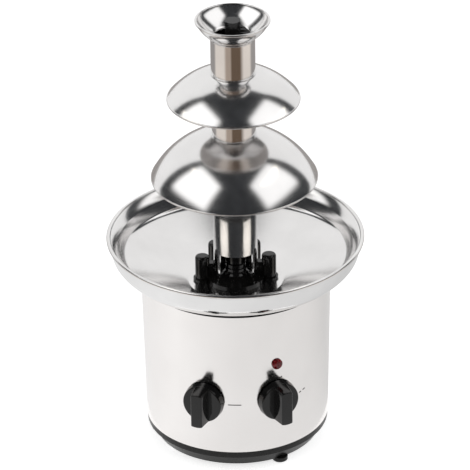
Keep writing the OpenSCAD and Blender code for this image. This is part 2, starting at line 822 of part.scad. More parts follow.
// Motor
module motor_can() {
    color(zinc) translate([0, gear_centres, motor_z]) {
        difference() {
            union() {
                cylinder(r = motor_r, h = motor_h);
                for (p = ear_spots) translate([p[0], p[1] - gear_centres, motor_h - ear_t]) {
                    cylinder(r = lug_r, h = ear_t);
                    translate([min(0, -p[0]), -lug_r, 0]) cube([abs(p[0]), 2 * lug_r, ear_t]);
                }
            }
            translate([0, 0, motor_wall]) cylinder(r = motor_r - motor_wall, h = motor_h);
            translate([0, 0, -eps]) cylinder(r = motor_bush_r + fit_gap, h = motor_wall + 2 * eps);
            for (p = ear_spots) translate([p[0], p[1] - gear_centres, motor_h - ear_t - eps])
                cylinder(r = case_screw_r + fit_gap, h = ear_t + 2 * eps);
        }
    }
}

module motor_stator() {
    color(zinc) translate([0, gear_centres, rotor_z + (rotor_h - stator_h) / 2])
        tube(motor_r - motor_wall - fit_gap, rotor_r + air_gap, stator_h);
}

module motor_rotor() {
    color(zinc) translate([0, gear_centres, rotor_z]) tube(rotor_r, motor_shaft_r + fit_gap, rotor_h);
}

module motor_shaft() {
    color(steel) translate([0, gear_centres, motor_z + shaft_up])
        cylinder(r = motor_shaft_r, h = gear_z + gear_w - motor_z);
}

module motor_pinion() {
    step = 180 / pinion_teeth;
    color(brass_tone) translate([0, gear_centres, gear_z]) rotate([0, 0, step]) difference() {
        linear_extrude(gear_w) polygon(gear_points(pinion_teeth, pinion_pitch_r));
        translate([0, 0, -eps]) cylinder(r = motor_shaft_r + fit_gap, h = gear_w + 2 * eps);
    }
}

module motor_bushes() {
    color(brass_tone) for (z = [motor_z, case_z + case_floor_t - motor_bush_h])
        translate([0, gear_centres, z]) tube(motor_bush_r, motor_shaft_r + run_gap, motor_bush_h);
}

module motor_screws() {
    color(zinc) for (p = ear_spots) translate([p[0], p[1], case_z - ear_t]) {
        translate([0, 0, -case_screw_head_h]) cylinder(r = case_screw_head_r, h = case_screw_head_h);
        cylinder(r = case_screw_r, h = motor_screw_h - eps);
    }
}

// Controls
module knob() {
    top = knob_reach;
    face = knob_gap + knob_skirt_h;
    half = knob_bar_w / 2;
    difference() {
        union() {
            rotate_extrude() polygon(concat(
                [[0, knob_gap], [knob_r, knob_gap]],
                curve(
                    [knob_r - knob_draft, face - knob_edge], [knob_r - knob_draft, face],
                    [knob_r - knob_draft - knob_edge, face], 6),
                [[0, face]]));
            intersection() {
                rotate([90, 0, 0]) translate([0, 0, -knob_bar_l]) linear_extrude(2 * knob_bar_l) polygon([
                    [-half - knob_bar_draft, face - knob_bar_sink],
                    [half + knob_bar_draft, face - knob_bar_sink],
                    [half, top], [-half, top]]);
                cylinder(r1 = knob_bar_l / 2 + knob_bar_draft, r2 = knob_bar_l / 2, h = top + eps);
            }
        }
        translate([0, 0, knob_gap - eps]) cylinder(r = knob_recess_r, h = knob_recess_h + eps);
        difference() {
            cylinder(r = knob_shaft_r + fit_gap, h = knob_shaft_out + fit_gap);
            translate([-knob_r, knob_shaft_r - knob_flat + fit_gap, -eps])
                cube([2 * knob_r, knob_r, knob_reach]);
        }
    }
}

module knob_shaft() {
    difference() {
        translate([0, 0, -knob_shaft_in]) cylinder(r = knob_shaft_r, h = knob_shaft_in + knob_shaft_out);
        translate([-knob_r, knob_shaft_r - knob_flat, control_bush_out + knob_flat])
            cube([2 * knob_r, knob_r, knob_reach]);
    }
}

module control_body() {
    difference() {
        union() {
            translate([0, 0, -control_face_in - control_h]) cylinder(r = control_r, h = control_h);
            translate([0, 0, -control_face_in - eps]) cylinder(
                r = control_bush_r, h = control_face_in + control_bush_out + eps);
        }
        translate([0, 0, -knob_shaft_in - eps]) cylinder(r = knob_shaft_r + run_gap, h = knob_reach);
    }
}

module control_nut() {
    translate([0, 0, part_gap]) difference() {
        cylinder(r = control_nut_r, h = control_nut_h, $fn = 6);
        translate([0, 0, -eps]) cylinder(r = control_bush_r + fit_gap, h = control_nut_h + 2 * eps);
    }
}

module motor_knob() {
    color(black) on_drum(-knob_angle, knob_face_r, knob_z) knob();
}

module motor_knob_shaft() {
    color(zinc) on_drum(-knob_angle, knob_face_r, knob_z) knob_shaft();
}

module motor_switch() {
    color(rubber_tone) on_drum(-knob_angle, knob_face_r, knob_z) control_body();
}

module motor_switch_nut() {
    color(zinc) on_drum(-knob_angle, knob_face_r, knob_z) control_nut();
}

module heat_knob() {
    color(black) on_drum(knob_angle, knob_face_r, knob_z) knob();
}

module heat_knob_shaft() {
    color(zinc) on_drum(knob_angle, knob_face_r, knob_z) knob_shaft();
}

module heat_control() {
    color(rubber_tone) on_drum(knob_angle, knob_face_r, knob_z) control_body();
}

module heat_control_nut() {
    color(zinc) on_drum(knob_angle, knob_face_r, knob_z) control_nut();
}

module indicator_lens() {
    color("#a3121c") on_drum(knob_angle, lamp_face_r, lamp_z) rotate_extrude() polygon(concat(
        [[0, -lens_in], [lamp_r, -lens_in]],
        curve([lamp_r, lens_out], [lamp_r, lens_out + lens_dome], [0, lens_out + lens_dome], 8)));
}

module indicator_holder() {
    color(rubber_tone) on_drum(knob_angle, lamp_face_r, lamp_z)
        translate([0, 0, -holder_face_in - holder_h]) difference() {
            cylinder(r = lamp_r + holder_wall, h = holder_h);
            translate([0, 0, holder_face_in + holder_h - lens_in])
                cylinder(r = lamp_r + fit_gap, h = holder_h);
        }
}

// Wiring entry
module terminal_block() {
    pitch = block_size[0] / block_screw_count;
    color(rubber_tone) translate([block_at[0], block_at[1], pan_floor_top]) difference() {
        translate([-block_size[0] / 2, -block_size[1] / 2, 0]) cube(block_size);
        for (i = [0:block_screw_count - 1])
            translate([(i - (block_screw_count - 1) / 2) * pitch, 0, block_size[2] - block_screw_h])
                cylinder(r = block_screw_r + fit_gap, h = block_screw_h + eps);
    }
}

module terminal_screws() {
    pitch = block_size[0] / block_screw_count;
    color(brass_tone) translate([block_at[0], block_at[1], pan_floor_top + block_size[2] - block_screw_h])
        for (i = [0:block_screw_count - 1]) translate([(i - (block_screw_count - 1) / 2) * pitch, 0, 0])
            cylinder(r = block_screw_r, h = block_screw_h + block_screw_proud);
}

module cord_gland() {
    color(black) on_drum(180, gland_face_r, gland_z) difference() {
        union() {
            translate([0, 0, part_gap]) cylinder(r = gland_flange_r, h = gland_flange_h);
            translate([0, 0, -gland_body_h]) cylinder(r = gland_r, h = gland_body_h + gland_flange_h);
        }
        translate([0, 0, -gland_body_h - eps])
            cylinder(r = cord_hole_r, h = gland_body_h + gland_flange_h + 3 * eps);
    }
}

module gland_nut() {
    color(black) on_drum(180, gland_face_r, gland_z) translate([0, 0, -gland_seat - gland_nut_h])
        difference() {
            cylinder(r = gland_nut_r, h = gland_nut_h, $fn = 6);
            translate([0, 0, -eps]) cylinder(r = gland_r + fit_gap, h = gland_nut_h + 2 * eps);
        }
}

crown_cup();
upper_tube();
upper_tier();
middle_tube();
lower_tier();
lower_tube();
auger_screw();
auger_hub();
tower_seat();
seat_screws();
shaft_seal();
basin_bowl();
basin_apron();
basin_seal();
housing_drum();
base_pan();
feet();
foot_screws();
drum_brackets();
pan_screws();
heater_ring();
heater_clamp();
bracket_studs();
bracket_spacers();
bracket_nuts();
thermal_cutout();
gear_cover();
gear_case();
gear_case_screws();
upper_bush();
lower_bush();
drive_shaft();
drive_gear();
motor_can();
motor_stator();
motor_rotor();
motor_shaft();
motor_pinion();
motor_bushes();
motor_screws();
motor_knob();
motor_knob_shaft();
motor_switch();
motor_switch_nut();
heat_knob();
heat_knob_shaft();
heat_control();
heat_control_nut();
indicator_lens();
indicator_holder();
terminal_block();
terminal_screws();
cord_gland();
gland_nut();
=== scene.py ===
"""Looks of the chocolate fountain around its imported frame.

Smooth spun shells and rounded knobs stand for nodes that show, every other node gets its finish,
and a plain studio holds the lights and the camera.
"""

import json
import logging
import math
from dataclasses import dataclass
from enum import Enum

import bmesh
import bpy
from mathutils import Matrix, Vector


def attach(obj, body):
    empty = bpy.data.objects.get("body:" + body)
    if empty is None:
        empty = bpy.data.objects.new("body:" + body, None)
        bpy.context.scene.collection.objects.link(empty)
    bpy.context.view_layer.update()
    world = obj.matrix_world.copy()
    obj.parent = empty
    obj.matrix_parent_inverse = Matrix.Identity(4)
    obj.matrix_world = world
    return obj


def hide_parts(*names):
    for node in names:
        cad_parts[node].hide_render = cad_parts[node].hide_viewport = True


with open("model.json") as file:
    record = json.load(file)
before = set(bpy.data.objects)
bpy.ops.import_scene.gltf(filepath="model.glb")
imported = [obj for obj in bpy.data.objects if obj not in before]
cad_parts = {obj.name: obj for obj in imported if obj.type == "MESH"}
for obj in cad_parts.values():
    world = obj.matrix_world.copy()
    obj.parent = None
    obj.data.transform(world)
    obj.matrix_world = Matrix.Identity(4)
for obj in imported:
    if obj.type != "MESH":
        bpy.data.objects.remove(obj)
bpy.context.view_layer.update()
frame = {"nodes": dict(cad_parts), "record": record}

LOG = logging.getLogger("fountain")
MM = 0.001
NOISE_RANGE = (0.3, 0.7)
Socket = bpy.types.NodeSocket
Point = tuple[float, float]
Loop = list[Point]
Colour = tuple[float, float, float]


class Slot(Enum):
    """Material slots of the record."""

    POLISHED = "polished_steel"
    SATIN = "satin_steel"
    DRUM = "drum_steel"
    GLOSS = "black_gloss"
    BASE = "black_base"
    SEAL = "rubber_seal"
    LENS = "red_lens"
    RESIN = "dark_resin"
    ZINC = "zinc_steel"
    CAST = "cast_aluminium"
    IRON = "laminated_iron"
    BRASS = "brass"


class Grain(Enum):
    """Direction of the fine lines that a metal surface is left with."""

    SPUN = "rings round the tower's axis"
    CAST = "no direction"


class Side(Enum):
    """Side of the fountain, seen from its front."""

    LEFT = -1
    RIGHT = 1


class Tree:
    """A new material with one Principled shader, and helpers that add nodes to it."""

    def __init__(self, name: str) -> None:
        """Makes the empty material.

        Args:
            name: Name of the material.
        """
        self.material = bpy.data.materials.new(name)
        self.material.use_nodes = True
        self.nodes = self.material.node_tree.nodes
        self.links = self.material.node_tree.links
        self.nodes.clear()
        self.output = self.nodes.new("ShaderNodeOutputMaterial")
        self.shader = self.nodes.new("ShaderNodeBsdfPrincipled")
        self.link(self.shader.outputs["BSDF"], self.output.inputs["Surface"])

    def link(self, source: Socket, target: Socket) -> None:
        """Joins two sockets."""
        self.links.new(source, target)

    def set(self, **values: object) -> None:
        """Sets sockets of the shader, with underscores for the spaces in their names."""
        for key, value in values.items():
            self.shader.inputs[key.replace("_", " ")].default_value = value

    def math(self, kind: str, a: Socket | float, b: Socket | float = 0.0) -> Socket:
        """Adds a Math node.

        Args:
            kind: Operation of the node.
            a: First value, a number or a socket.
            b: Second value, a number or a socket.

        Returns:
            The node's output socket.
        """
        node = self.nodes.new("ShaderNodeMath")
        node.operation = kind
        for socket, value in zip(node.inputs, (a, b)):
            if isinstance(value, (int, float)):
                socket.default_value = value
            else:
                self.link(value, socket)
        return node.outputs[0]

    def object_point(self) -> Socket:
        """Adds the piece's own coordinates and returns their socket."""
        return self.nodes.new("ShaderNodeTexCoord").outputs["Object"]

    def parts(self, point: Socket) -> tuple[Socket, ...]:
        """Splits a point.

        Args:
            point: Socket of the point.

        Returns:
            Sockets of its X, Y and Z.
        """
        node = self.nodes.new("ShaderNodeSeparateXYZ")
        self.link(point, node.inputs[0])
        return tuple(node.outputs)

    def reach(self, x: Socket, y: Socket) -> Socket:
        """Adds the distance of a place from the Z axis and returns its socket."""
        squares = [self.math("MULTIPLY", way, way) for way in (x, y)]
        return self.math("SQRT", self.math("ADD", *squares))

    def round_point(self, across: float, around: float, along: float) -> Socket:
        """Adds coordinates that run round the Z axis.

        Args:
            across: Scale of the distance from the axis.
            around: Scale of the angle in radians.
            along: Scale of the height.

        Returns:
            Socket of the scaled radius, angle and height.
        """
        x, y, z = self.parts(self.object_point())
        join = self.nodes.new("ShaderNodeCombineXYZ")
        scaled = ((self.reach(x, y), across), (self.math("ARCTAN2", y, x), around), (z, along))
        for (value, scale), socket in zip(scaled, join.inputs):
            self.link(self.math("MULTIPLY", value, scale), socket)
        return join.outputs[0]

    def noise(self, point: Socket, scale: float, detail: float = 3.0) -> Socket:
        """Adds a noise texture.

        Args:
            point: Socket of the coordinates.
            scale: Scale of the noise.
            detail: Number of octaves.

        Returns:
            Socket of the noise value.
        """
        node = self.nodes.new("ShaderNodeTexNoise")
        node.inputs["Scale"].default_value = scale
        node.inputs["Detail"].default_value = detail
        self.link(point, node.inputs["Vector"])
        return node.outputs[0]

    def remap(self, value: Socket, start: Point, end: Point, soft: bool = False) -> Socket:
        """Maps a value from one range to another.

        Args:
            value: Socket of the value.
            start: Range that it comes from.
            end: Range that it goes to.
            soft: Whether it eases in and out at the ends.

        Returns:
            Socket of the mapped value.
        """
        node = self.nodes.new("ShaderNodeMapRange")
        if soft:
            node.interpolation_type = "SMOOTHSTEP"
        names = ("From Min", "From Max", "To Min", "To Max")
        for name, number in zip(names, (*start, *end)):
            node.inputs[name].default_value = number
        self.link(value, node.inputs["Value"])
        return node.outputs[0]

    def span(self, value: Socket, low: float, high: float) -> Socket:
        """Maps a noise value, which mostly lies in NOISE_RANGE, to a range."""
        return self.remap(value, NOISE_RANGE, (low, high))

    def ramp(self, value: Socket, stops: list[tuple[float, Colour]]) -> Socket:
        """Adds a colour ramp.

        Args:
            value: Socket of the value between 0 and 1.
            stops: Places and colours.

        Returns:
            Socket of the colour.
        """
        node = self.nodes.new("ShaderNodeValToRGB")
        elements = node.color_ramp.elements
        elements[0].position, elements[-1].position = stops[0][0], stops[-1][0]
        for spot, _ in stops[1:-1]:
            elements.new(spot)
        for (_, colour), mark in zip(stops, elements):
            mark.color = (*colour, 1.0)
        self.link(value, node.inputs[0])
        return node.outputs[0]

    def tint(self, value: Socket, dark: Colour, light: Colour) -> None:
        """Feeds the base colour with a blend of two colours.

        Args:
            value: Socket of the blend.
            dark: Colour at low values.
            light: Colour at high values.
        """
        blend = self.ramp(value, list(zip(NOISE_RANGE, (dark, light))))
        self.link(blend, self.shader.inputs["Base Color"])

    def bump(self, height: Socket, strength: float, depth: float) -> None:
        """Feeds the shader's normal with a bump.

        Args:
            height: Socket of the height.
            strength: Share of the bump that shows.
            depth: Height of the bump in metres.
        """
        node = self.nodes.new("ShaderNodeBump")
        node.inputs["Strength"].default_value = strength
        node.inputs["Distance"].default_value = depth
        self.link(height, node.inputs["Height"])
        self.link(node.outputs[0], self.shader.inputs["Normal"])


@dataclass(frozen=True)
class MetalFinish:
    """A bare or plated metal with fine working lines and faint cloudy wear."""

    name: str
    dark: Colour
    light: Colour
    smooth: float
    rough: float
    grain: Grain
    depth: float
    fineness: float = 1800.0
    line_turn: float = 2.0
    line_share: float = 0.65
    line_bump: float = 0.35
    cloud_scale: float = 22.0

    def material(self) -> bpy.types.Material:
        """Builds the material.

        Returns:
            The new material.
        """
        tree = Tree(self.name)
        tree.set(Metallic=1.0)
        if self.grain is Grain.SPUN:
            point = tree.round_point(self.fineness, self.line_turn, self.fineness)
            lines = tree.noise(point, scale=1.0, detail=2.0)
        else:
            lines = tree.noise(tree.object_point(), self.fineness, detail=4.0)
        clouds = tree.noise(tree.object_point(), self.cloud_scale, detail=4.0)
        tree.tint(clouds, self.dark, self.light)
        mixed = tree.math(
            "ADD", tree.math("MULTIPLY", lines, self.line_share),
            tree.math("MULTIPLY", clouds, 1.0 - self.line_share))
        tree.link(tree.span(mixed, self.smooth, self.rough), tree.shader.inputs["Roughness"])
        tree.bump(lines, self.line_bump, self.depth)
        return tree.material


@dataclass(frozen=True)
class MouldedFinish:
    """A moulded plastic or rubber with a pebbled skin and slight handling marks."""

    name: str
    dark: Colour
    light: Colour
    smooth: float
    rough: float
    pebble: float
    depth: float
    shine: float = 0.5
    cloud_scale: float = 60.0
    pebble_bump: float = 0.3

    def material(self) -> bpy.types.Material:
        """Builds the material.

        Returns:
            The new material.
        """
        tree = Tree(self.name)
        tree.set(Specular_IOR_Level=self.shine)
        point = tree.object_point()
        clouds = tree.noise(point, self.cloud_scale, detail=5.0)
        tree.tint(clouds, self.dark, self.light)
        tree.link(tree.span(clouds, self.smooth, self.rough), tree.shader.inputs["Roughness"])
        tree.bump(tree.noise(point, self.pebble, detail=2.0), self.pebble_bump, self.depth)
        return tree.material


@dataclass(frozen=True)
class LensFinish:
    """Clear red plastic of the indicator, pressed with small facets inside, with painted facet
    shading in its colour.
    """

    name: str
    colour: Colour
    facet: float
    # share of the red kept at each facet's middle: painted facet shading
    facet_shade_share: float = 0.45
    smooth: float = 0.06
    rough: float = 0.14
    wear_scale: float = 300.0
    facet_bump: float = 0.5
    depth: float = 0.0004

    def material(self) -> bpy.types.Material:
        """Builds the material.

        Returns:
            The new material.
        """
        tree = Tree(self.name)
        tree.set(IOR=1.49, Transmission_Weight=0.25)
        point = tree.object_point()
        cells = tree.nodes.new("ShaderNodeTexVoronoi")
        cells.inputs["Scale"].default_value = self.facet
        tree.link(point, cells.inputs["Vector"])
        # painted facet shading: the red is darker at each facet's middle and full at its edges
        facet_shade = tuple(self.facet_shade_share * c for c in self.colour)
        tree.tint(cells.outputs["Distance"], facet_shade, self.colour)
        wear = tree.span(tree.noise(point, self.wear_scale), self.smooth, self.rough)
        tree.link(wear, tree.shader.inputs["Roughness"])
        tree.bump(cells.outputs["Distance"], self.facet_bump, self.depth)
        return tree.material


FINISHES = {
    Slot.POLISHED: MetalFinish(
        "polished_steel", (0.74, 0.735, 0.735), (0.82, 0.815, 0.81),
        smooth=0.05, rough=0.11, grain=Grain.SPUN, depth=0.00001),
    Slot.SATIN: MetalFinish(
        "satin_steel", (0.73, 0.72, 0.715), (0.80, 0.79, 0.785),
        smooth=0.13, rough=0.18, grain=Grain.SPUN, depth=0.000010, fineness=1500.0),
    Slot.DRUM: MetalFinish(
        "drum_steel", (0.86, 0.835, 0.82), (0.90, 0.875, 0.86),
        smooth=0.13, rough=0.19, grain=Grain.SPUN, depth=0.000005, fineness=2600.0),
    Slot.GLOSS: MouldedFinish(
        "black_gloss", (0.004, 0.004, 0.004), (0.008, 0.0076, 0.0072),
        smooth=0.07, rough=0.14, pebble=900.0, depth=0.00002, shine=0.42),
    Slot.BASE: MouldedFinish(
        "black_base", (0.007, 0.007, 0.0065), (0.015, 0.0145, 0.014),
        smooth=0.24, rough=0.38, pebble=1500.0, depth=0.00006, shine=0.28),
    # black rubber ring in the joint between apron and drum: a real seal whose dark line also paints
    # the shade of that joint
    Slot.SEAL: MouldedFinish(
        "rubber_seal", (0.004, 0.004, 0.004), (0.009, 0.009, 0.009),
        smooth=0.62, rough=0.82, pebble=1100.0, depth=0.00006, shine=0.2),
    Slot.LENS: LensFinish("red_lens", (0.26, 0.005, 0.010), facet=420.0),
    Slot.RESIN: MouldedFinish(
        "dark_resin", (0.045, 0.040, 0.036), (0.075, 0.068, 0.062),
        smooth=0.40, rough=0.58, pebble=1300.0, depth=0.00005),
    Slot.ZINC: MetalFinish(
        "zinc_steel", (0.52, 0.53, 0.56), (0.68, 0.68, 0.69),
        smooth=0.26, rough=0.42, grain=Grain.CAST, depth=0.00003, fineness=420.0),
    Slot.CAST: MetalFinish(
        "cast_aluminium", (0.56, 0.56, 0.57), (0.70, 0.70, 0.71),
        smooth=0.40, rough=0.62, grain=Grain.CAST, depth=0.00012, fineness=700.0),
    Slot.IRON: MetalFinish(
        "laminated_iron", (0.26, 0.26, 0.27), (0.42, 0.42, 0.43),
        smooth=0.38, rough=0.58, grain=Grain.SPUN, depth=0.00015, fineness=1600.0),
    Slot.BRASS: MetalFinish(
        "brass", (0.60, 0.43, 0.16), (0.78, 0.61, 0.29),
        smooth=0.18, rough=0.34, grain=Grain.SPUN, depth=0.00003, fineness=1500.0),
}


class Wardrobe:
    """Keeps one material for each finish."""

    def __init__(self) -> None:
        """Builds every finish once."""
        self.materials = {slot: finish.material() for slot, finish in FINISHES.items()}

    def dress(self, piece: bpy.types.Object, slot: Slot) -> None:
        """Gives a piece the material of a slot."""
        piece.data.materials.clear()
        piece.data.materials.append(self.materials[slot])

    def dress_frame(self) -> None:
        """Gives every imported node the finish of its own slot."""
        for part in frame["record"]["subparts"]:
            self.dress(frame["nodes"][part["node"]], Slot(part["material_slot"]))


def moved(point: Point, by: Point) -> Point:
    """A point moved by an offset."""
    return (point[0] + by[0], point[1] + by[1])


def bend(a: Point, b: Point, c: Point, steps: int) -> Loop:
    """Points of a quadratic curve.

    Args:
        a: Start.
        b: Point that the curve is drawn towards.
        c: End.
        steps: Number of steps.

    Returns:
        The points from start to end.
    """
    path = []
    for t in [i / steps for i in range(steps + 1)]:
        path.append(tuple(
            (1 - t) ** 2 * p + 2 * t * (1 - t) * q + t * t * r for p, q, r in zip(a, b, c)))
    return path


def ring(r: float, z: float, size: float, steps: int = 28) -> Loop:
    """Closed round loop of a rolled edge.

    Args:
        r: Distance of its middle from the axis.
        z: Height of its middle.
        size: Radius of the roll.
        steps: Number of points.

    Returns:
        The loop.
    """
    turns = [2 * math.pi * i / steps for i in range(steps)]
    return [(r + size * math.cos(t), z + size * math.sin(t)) for t in turns]


def thick(path: Loop, wall: float) -> Loop:
    """Closed loop of a sheet laid along a path.

    Args:
        path: Points of one face.
        wall: Thickness towards the left of the path.

    Returns:
        The loop round the sheet.
    """
    back = []
    for i, p in enumerate(path):
        a, b = path[max(i - 1, 0)], path[min(i + 1, len(path) - 1)]
        run = Vector((b[0] - a[0], b[1] - a[1])).normalized()
        back.append((p[0] - wall * run[1], p[1] + wall * run[0]))
    return path + back[::-1]


def turned(mesh: bmesh.types.BMesh, loop: Loop, segments: int) -> None:
    """Adds a closed loop turned round the Z axis to a mesh.

    Args:
        mesh: The mesh under construction.
        loop: Loop of radius and height in millimetres.
        segments: Number of segments round the axis.
    """
    rows = []
    for s in range(segments):
        a = 2 * math.pi * s / segments
        spots = [(r * math.cos(a) * MM, r * math.sin(a) * MM, z * MM) for r, z in loop]
        rows.append([mesh.verts.new(spot) for spot in spots])
    for s in range(segments):
        here, there = rows[s], rows[(s + 1) % segments]
        for i in range(len(loop)):
            k = (i + 1) % len(loop)
            mesh.faces.new((here[i], there[i], there[k], here[k]))


def lathe(name: str, loops: list[Loop], segments: int = 192) -> bpy.types.Object:
    """Turns closed loops round the Z axis.

    Args:
        name: Name of the piece.
        loops: Loops of radius and height in millimetres.
        segments: Number of segments round the axis.

    Returns:
        The new piece, smooth but for its real corners.
    """
    mesh = bmesh.new()
    for loop in loops:
        turned(mesh, loop, segments)
    return finished(name, mesh)


def finished(name: str, mesh: bmesh.types.BMesh, corner: float = 32.0) -> bpy.types.Object:
    """Makes an object of a mesh under construction.

    Args:
        name: Name of the piece.
        mesh: The mesh, which is freed.
        corner: Angle in degrees above which an edge stays sharp.

    Returns:
        The new object.
    """
    bmesh.ops.recalc_face_normals(mesh, faces=mesh.faces)
    data = bpy.data.meshes.new(name)
    mesh.to_mesh(data)
    mesh.free()
    data.shade_smooth()
    data.set_sharp_from_angle(angle=math.radians(corner))
    piece = bpy.data.objects.new(name, data)
    bpy.context.scene.collection.objects.link(piece)
    return piece


def place(
        piece: bpy.types.Object, body: str, slot: Slot, wardrobe: Wardrobe, *nodes: str) -> None:
    """Dresses a piece, lets it ride on a body and reports it.

    Args:
        piece: The piece.
        body: Name of the body.
        slot: Slot of its finish.
        wardrobe: The materials.
        *nodes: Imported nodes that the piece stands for.
    """
    wardrobe.dress(piece, slot)
    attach(piece, body)
    if nodes:
        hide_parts(*nodes)
    LOG.info("%s on %s in %s", piece.name, body, slot.value)


@dataclass
class Tower:
    """Lift-off tower: three tubes, two domed tiers and the crown cup, in millimetres."""

    tube_r: float = 19.7
    tube_wall: float = 1.0
    tube_z: float = 166.0
    lower_tube_h: float = 132.0
    middle_tube_h: float = 59.5
    upper_tube_h: float = 34.0
    tier_wall: float = 1.2
    tier_flat_r: float = 20.5
    tier_steps: int = 40
    lower_tier_r: float = 74.2
    lower_curve: float = 84.0
    upper_tier_r: float = 59.0
    upper_curve: float = 76.0
    hem_r: float = 1.1
    crown_h: float = 18.0
    crown_r: float = 32.6
    crown_foot_h: float = 1.0
    crown_flare: Point = (29.6, 9.0)
    spigot_r: float = 18.67
    spigot_wall: float = 1.0
    spigot_h: float = 7.0
    bead_r: float = 0.55
    bead_steps: int = 16
    edge: float = 0.25
    window_h: float = 19.0
    window_rows: tuple[float, ...] = (0.0, 0.4, 0.9, 1.0)
    window_turns: int = 240
    wall_rows: int = 6
    front_window: float = 48.0
    rear_window: float = 25.0

    @property
    def lower_flat_z(self) -> float:
        """Height of the lower tier's flat."""
        return self.tube_z + self.lower_tube_h + self.tier_wall

    @property
    def upper_flat_z(self) -> float:
        """Height of the upper tier's flat."""
        return self.lower_flat_z + self.middle_tube_h + self.tier_wall

    @property
    def crown_z(self) -> float:
        """Height of the crown's foot."""
        return self.upper_flat_z + self.upper_tube_h

    def tube(self, z: float, h: float) -> list[Loop]:
        """Loops of a tube with softened ends and a bead at its foot.

        Args:
            z: Height of its foot.
            h: Length.

        Returns:
            The loops.
        """
        out, bore, e = self.tube_r, self.tube_r - self.tube_wall, self.edge
        wall = [
            (bore + e, z), (out - e, z), (out, z + e), (out, z + h - e), (out - e, z + h),
            (bore + e, z + h), (bore, z + h - e), (bore, z + e)]
        return [wall, ring(out, z + self.bead_r + e, self.bead_r, self.bead_steps)]

    def tier(self, flat_z: float, rim: float, curve_r: float) -> list[Loop]:
        """Loops of a domed tier with a rolled hem and a spigot below.

        Args:
            flat_z: Height of its flat.
            rim: Radius of its rim.
            curve_r: Radius of its dome.

        Returns:
            The loops.
        """
        centre = flat_z - math.sqrt(curve_r ** 2 - self.tier_flat_r ** 2)
        bore = self.spigot_r - self.spigot_wall
        start, end = math.asin(self.tier_flat_r / curve_r), math.asin(rim / curve_r)
        steps = self.tier_steps
        angles = [start + (end - start) * i / steps for i in range(steps + 1)]
        inner = curve_r - self.tier_wall
        dome = [(curve_r * math.sin(a), centre + curve_r * math.cos(a)) for a in angles]
        under = [(inner * math.sin(a), centre + inner * math.cos(a)) for a in angles[::-1]]
        high = flat_z - self.tier_wall
        low = high - self.spigot_h
        shell = [(bore, flat_z)] + dome + under + [(bore, high)]
        edge_z = centre + math.sqrt(curve_r ** 2 - rim ** 2)
        spigot = [(bore, low), (self.spigot_r, low), (self.spigot_r, high), (bore, high)]
        return [shell, ring(rim - self.hem_r, edge_z, self.hem_r), spigot]

    def crown(self) -> list[Loop]:
        """Loops of the flared crown cup with its rolled rim.

        Returns:
            The loops.
        """
        foot, rim = (self.tube_r, self.crown_foot_h), (self.crown_r, self.crown_h - self.hem_r)
        flare = [(self.tube_r, 0.0)] + bend(foot, self.crown_flare, rim, steps=30)
        low, high = self.crown_z, self.crown_z + self.spigot_wall
        shell = [(r, z + low) for r, z in thick(flare, self.tube_wall)]
        roll = ring(self.crown_r - self.tube_wall / 2, low + rim[1], self.hem_r)
        seam = ring(self.tube_r, low + self.bead_r, self.bead_r, self.bead_steps)
        bore, out = self.spigot_r - self.spigot_wall, self.tube_r - self.tube_wall / 2
        floor = [(bore, low), (out, low), (out, high), (bore, high)]
        return [shell, roll, seam, floor]

    def lower_tube(self) -> bpy.types.Object:
        """Builds the lower tube with its front and rear inlet windows.

        Returns:
            The new piece.
        """
        turns, step = self.window_turns, 360.0 / self.window_turns
        z, wall_z = self.tube_z, self.tube_z + self.window_h
        rise = (self.lower_tube_h - self.window_h) / self.wall_rows
        levels = [z + share * self.window_h for share in self.window_rows]
        levels += [wall_z + rise * i for i in range(1, self.wall_rows + 1)]
        last = len(levels) - 1
        mesh = bmesh.new()
        rows, feet = [], []
        for s in range(turns):
            a, middle = math.radians(s * step - 90.0), (s + 0.5) * step
            x, y = math.cos(a) * MM, math.sin(a) * MM
            radii = (self.tube_r, self.tube_r - self.tube_wall)
            rows.append([[mesh.verts.new((r * x, r * y, q * MM)) for q in levels] for r in radii])
            from_front = min(middle, 360.0 - middle)
            is_open = from_front < self.front_window or 180.0 - from_front < self.rear_window
            feet.append(len(self.window_rows) - 1 if is_open else 0)
        for s, foot in enumerate(feet):
            (out, bore), (next_out, next_bore) = rows[s], rows[(s + 1) % turns]
            for i in range(foot, last):
                mesh.faces.new((out[i], next_out[i], next_out[i + 1], out[i + 1]))
                mesh.faces.new((bore[i], bore[i + 1], next_bore[i + 1], next_bore[i]))
            for i in (foot, last):
                mesh.faces.new((out[i], bore[i], next_bore[i], next_out[i]))
            for i in range(*sorted((foot, feet[s - 1]))):
                mesh.faces.new((out[i], out[i + 1], bore[i + 1], bore[i]))
        loose = [v for v in mesh.verts if not v.link_faces]
        bmesh.ops.delete(mesh, geom=loose, context="VERTS")
        return finished("lower_tube_shell", mesh)

    def build(self, wardrobe: Wardrobe) -> None:
        """Builds and dresses the tower.

        Args:
            wardrobe: The materials.
        """
        low, high = self.lower_flat_z, self.upper_flat_z
        upper = self.tier(high, self.upper_tier_r, self.upper_curve)
        lower = self.tier(low, self.lower_tier_r, self.lower_curve)
        spun = (
            ("crown_cup", "shell", self.crown(), Slot.SATIN),
            ("upper_tube", "shell", self.tube(high, self.upper_tube_h), Slot.POLISHED),
            ("middle_tube", "shell", self.tube(low, self.middle_tube_h), Slot.POLISHED),
            ("upper_tier", "dome", upper, Slot.SATIN), ("lower_tier", "dome", lower, Slot.SATIN))
        for node, form, loops, slot in spun:
            place(lathe(f"{node}_{form}", loops), "tower", slot, wardrobe, node)
        place(self.lower_tube(), "tower", Slot.POLISHED, wardrobe, "lower_tube")


